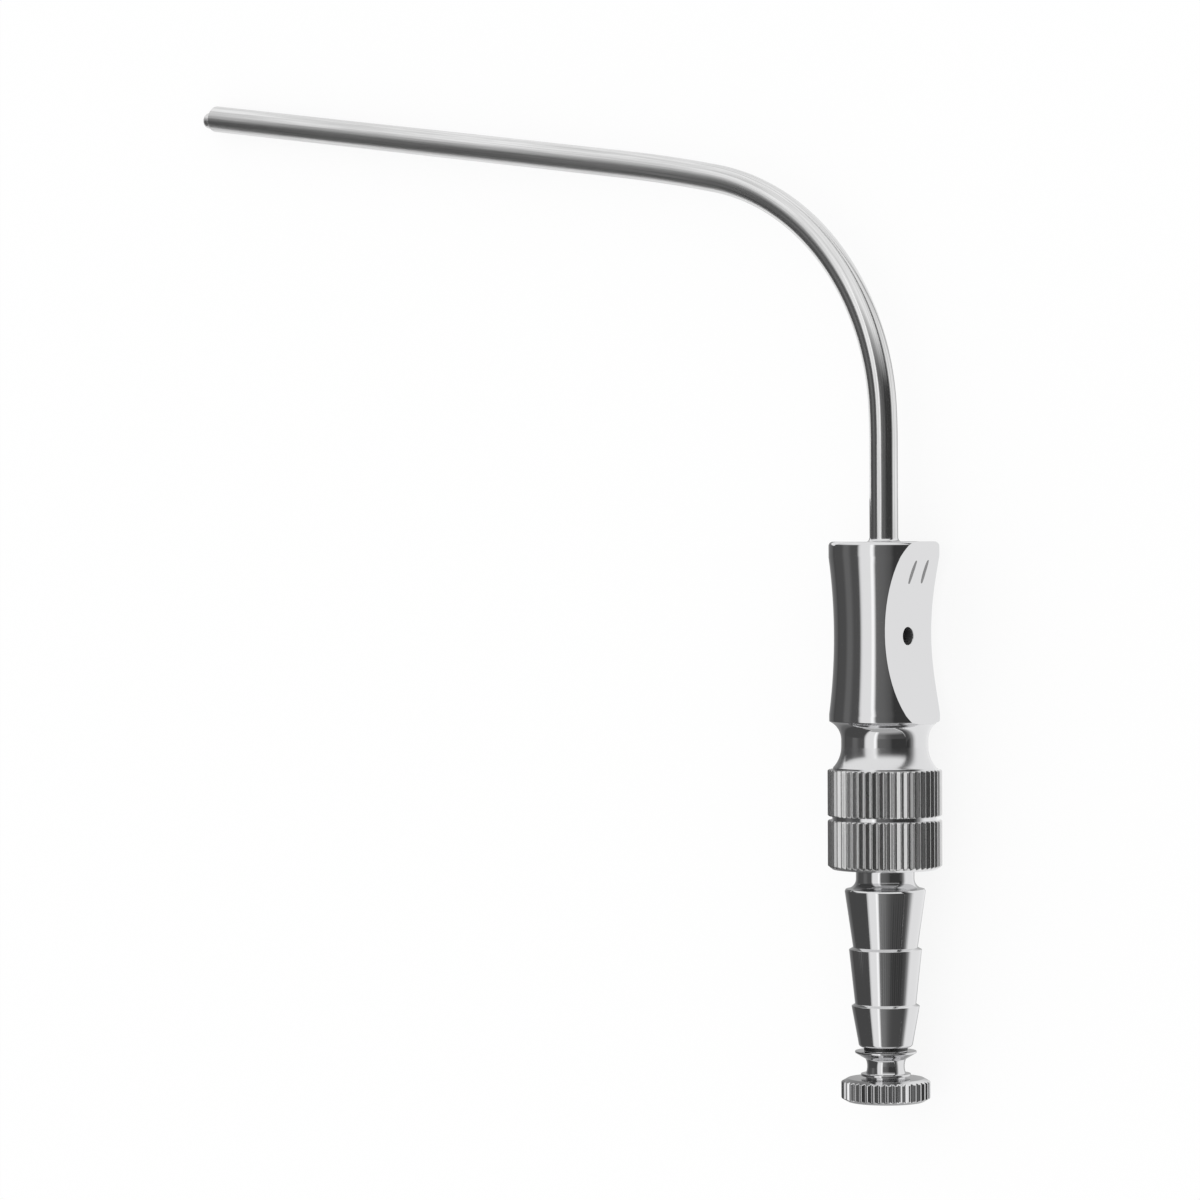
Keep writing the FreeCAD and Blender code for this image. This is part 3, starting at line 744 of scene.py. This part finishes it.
NEAR_FLOOR_ENDS = (-0.3, -0.033)
UPPER_NEAR_FLOOR = (*REST_FLOOR_BANDS, (0.046, 0.09), (0.08, 0.04), (0.9, 0.04))
UPPER_NEAR_FLOOR_ENDS = (-0.033, 0.3)
FAR_FLOOR = (  # the same on the arm's side
    (-0.9, DARK), (-0.089, DARK), (-0.028, 0.17), (-0.016, 0.3), (-0.008, 0.45), (0, 0.45),
)
FAR_FLOOR_ENDS = (-0.3, 0.01)
CAMERA_PLACE = (0.358900, 0.004486, 0.499685)
CAMERA_TURN = (-0.924, 35.275, -0.327)
LENS = 135.0
SENSOR = 36.0


def floor_material():
    """A matt pale grey, lifted towards white where it is seen, straight or in a reflection."""
    material = bpy.data.materials.new("pale_floor")
    material.use_nodes = True
    nodes, links = material.node_tree.nodes, material.node_tree.links
    shader = nodes["Principled BSDF"]
    shader.inputs["Base Color"].default_value = (FLOOR_GREY, FLOOR_GREY, FLOOR_GREY, 1)
    shader.inputs["Roughness"].default_value = 1
    shader.inputs["Specular IOR Level"].default_value = 0
    white = nodes.new("ShaderNodeEmission")
    path = nodes.new("ShaderNodeLightPath")
    seen = path.outputs["Is Camera Ray"]
    for ray in ("Is Glossy Ray", "Is Transmission Ray"):
        either = nodes.new("ShaderNodeMath")
        either.use_clamp = True
        links.new(seen, either.inputs[0])
        links.new(path.outputs[ray], either.inputs[1])
        seen = either.outputs["Value"]
    lift = nodes.new("ShaderNodeMath")
    lift.operation = "MULTIPLY"
    lift.inputs[1].default_value = FLOOR_LIFT
    links.new(seen, lift.inputs[0])
    blend = nodes.new("ShaderNodeMixShader")
    links.new(lift.outputs["Value"], blend.inputs["Fac"])
    links.new(shader.outputs["BSDF"], blend.inputs[1])
    links.new(white.outputs["Emission"], blend.inputs[2])
    links.new(blend.outputs["Shader"], nodes["Material Output"].inputs["Surface"])
    material.cycles.emission_sampling = "NONE"
    return material


def card_material():
    """A surface that glows at the level that its card's UV gives."""
    material = bpy.data.materials.new("card_glow")
    material.use_nodes = True
    material.cycles.emission_sampling = "NONE"
    nodes, links = material.node_tree.nodes, material.node_tree.links
    nodes.remove(nodes["Principled BSDF"])
    glow = nodes.new("ShaderNodeEmission")
    level = nodes.new("ShaderNodeUVMap")
    level.uv_map = "surface"
    split = nodes.new("ShaderNodeSeparateXYZ")
    links.new(level.outputs["UV"], split.inputs["Vector"])
    links.new(split.outputs["X"], glow.inputs["Strength"])
    links.new(glow.outputs["Emission"], nodes["Material Output"].inputs["Surface"])
    return material


def card(name, columns, material):
    """A stage card: a strip over pairs of corners, each corner with its level."""
    form = bmesh.new()
    layer = form.loops.layers.uv.new("surface")
    pairs = [(form.verts.new(near), form.verts.new(far), levels) for near, far, levels in columns]
    for (near, far, levels), (next_near, next_far, next_levels) in zip(pairs, pairs[1:]):
        face = form.faces.new((near, far, next_far, next_near))
        for loop, level in zip(face.loops, (*levels, *reversed(next_levels))):
            loop[layer].uv = (level, 0)
    mesh = bpy.data.meshes.new(name)
    form.to_mesh(mesh)
    form.free()
    mesh.materials.append(material)
    thing = bpy.data.objects.new(name, mesh)
    bpy.context.scene.collection.objects.link(thing)
    return thing


def only_reflected(thing):
    """Hide a card from all but reflections."""
    thing.visible_camera = False
    thing.visible_diffuse = False
    thing.visible_transmission = False
    thing.visible_volume_scatter = False
    thing.visible_shadow = False


def round_columns(bands, radius, ends, axis, fades=(None, None)):
    """The columns of a card bent round the grip's axis, each end at its band's level or at its own."""
    columns = []
    for (start, level), (finish, following) in zip(bands, bands[1:]):
        count = math.ceil((finish - start) / CARD_STEP)
        for share in [index / count for index in range(count)] + [1]:
            angle = math.radians(start + (finish - start) * share)
            x, z = axis.x + radius * math.cos(angle), radius * math.sin(angle)
            glow = level + (following - level) * share
            levels = [glow if fade is None else max(fade, glow) for fade in fades]
            columns.append(((x, ends[0], z), (x, ends[1], z), levels))
    return columns


def flat_columns(bands, ends, axis):
    """The columns of a card that lies on the floor beside the grip's axis."""
    return [
        ((axis.x + x, ends[0], CARD_LIFT), (axis.x + x, ends[1], CARD_LIFT), (level, level))
        for x, level in bands
    ]


def make_studio():
    """Floor, sky and soft lamp, and the cards: a tent in four parts and its end, two flags, and
    three on the floor."""
    world = bpy.data.worlds.new("sky")
    world.use_nodes = True
    world.node_tree.nodes["Background"].inputs["Color"].default_value = (1, 1, 1, 1)
    world.node_tree.nodes["Background"].inputs["Strength"].default_value = SKY_LEVEL
    bpy.context.scene.world = world
    half = FLOOR_HALF
    edges = [((x, -half, 0), (x, half, 0), (0, 0)) for x in (-half, half)]
    card("floor", edges, floor_material())
    lamp = bpy.data.lights.new("soft_lamp", "AREA")
    lamp.shape = "RECTANGLE"
    lamp.size, lamp.size_y = LAMP_SIZE
    lamp.energy = LAMP_POWER
    lamp_object = bpy.data.objects.new("soft_lamp", lamp)
    lamp_object.location = LAMP_PLACE
    lamp_object.visible_glossy = False
    bpy.context.scene.collection.objects.link(lamp_object)
    axis = Vector(mounts["hose_nipple"]["pos_m"])
    near_ends, far_ends = (TENT_ENDS[0], TENT_PLAIN[0]), (UPPER_TENT_PLAIN[1], TENT_ENDS[1])
    near_part = round_columns(TENT_BANDS, TENT_RADIUS, near_ends, axis, (TENT_NEAR_LEVEL, None))
    cards = {
        "tent": round_columns(TENT_BANDS, TENT_RADIUS, TENT_PLAIN, axis),
        "upper_tent": round_columns(UPPER_TENT_BANDS, TENT_RADIUS, UPPER_TENT_PLAIN, axis),
        "tent_near_part": near_part,
        "tent_far_part": round_columns(
            UPPER_TENT_BANDS, TENT_RADIUS, far_ends, axis, (None, TENT_FAR_LEVEL)),
        "tent_near_end": [
            (near, (near[0], near[1], 0), (TENT_NEAR_LEVEL, TENT_NEAR_LEVEL)) for near, _, _ in near_part
        ],
        "flag": round_columns(FLAG_BANDS, FLAG_RADIUS, FLAG_ENDS, axis),
        "upper_flag": round_columns(UPPER_FLAG_BANDS, FLAG_RADIUS, UPPER_FLAG_ENDS, axis),
        "near_floor": flat_columns(NEAR_FLOOR, NEAR_FLOOR_ENDS, axis),
        "upper_near_floor": flat_columns(UPPER_NEAR_FLOOR, UPPER_NEAR_FLOOR_ENDS, axis),
        "far_floor": flat_columns(FAR_FLOOR, FAR_FLOOR_ENDS, axis),
    }
    glow = card_material()
    for name, columns in cards.items():
        only_reflected(card(name, columns, glow))


def make_camera():
    """The camera at the photograph's place."""
    camera = bpy.data.cameras.new("camera")
    camera.lens = LENS
    camera.sensor_width = SENSOR
    camera.clip_end = 4 * FLOOR_HALF
    view = bpy.data.objects.new("camera", camera)
    view.location = CAMERA_PLACE
    view.rotation_euler = [math.radians(angle) for angle in CAMERA_TURN]
    bpy.context.scene.collection.objects.link(view)
    bpy.context.scene.camera = view


polished_steel = steel_material("polished_steel", **POLISHED)
drawn_steel = steel_material("drawn_steel", **DRAWN)
knurled_steel = steel_material("knurled_steel", **KNURLED)
# the vent bore's steel: real rough finish, with painted shade in its darker grey
dull_bore_painted_shade_steel = steel_material("dull_bore_painted_shade_steel", **DULL_PAINTED_SHADE)
engraved_steel = steel_material("engraved_steel", **ENGRAVED)
turned_neck_steel = steel_material("turned_neck_steel", **TURNED)
# the knob boss's painted shade
boss_painted_shade_steel = steel_material("boss_painted_shade_steel", **PAINTED_SHADE)
make_cannula(drawn_steel)
make_wire(drawn_steel)
make_grip(polished_steel, knurled_steel, turned_neck_steel, dull_bore_painted_shade_steel, engraved_steel)
make_connector(polished_steel, knurled_steel)
make_knob(polished_steel, boss_painted_shade_steel)
make_studio()
make_camera()
bpy.context.scene.view_settings.view_transform = "Standard"
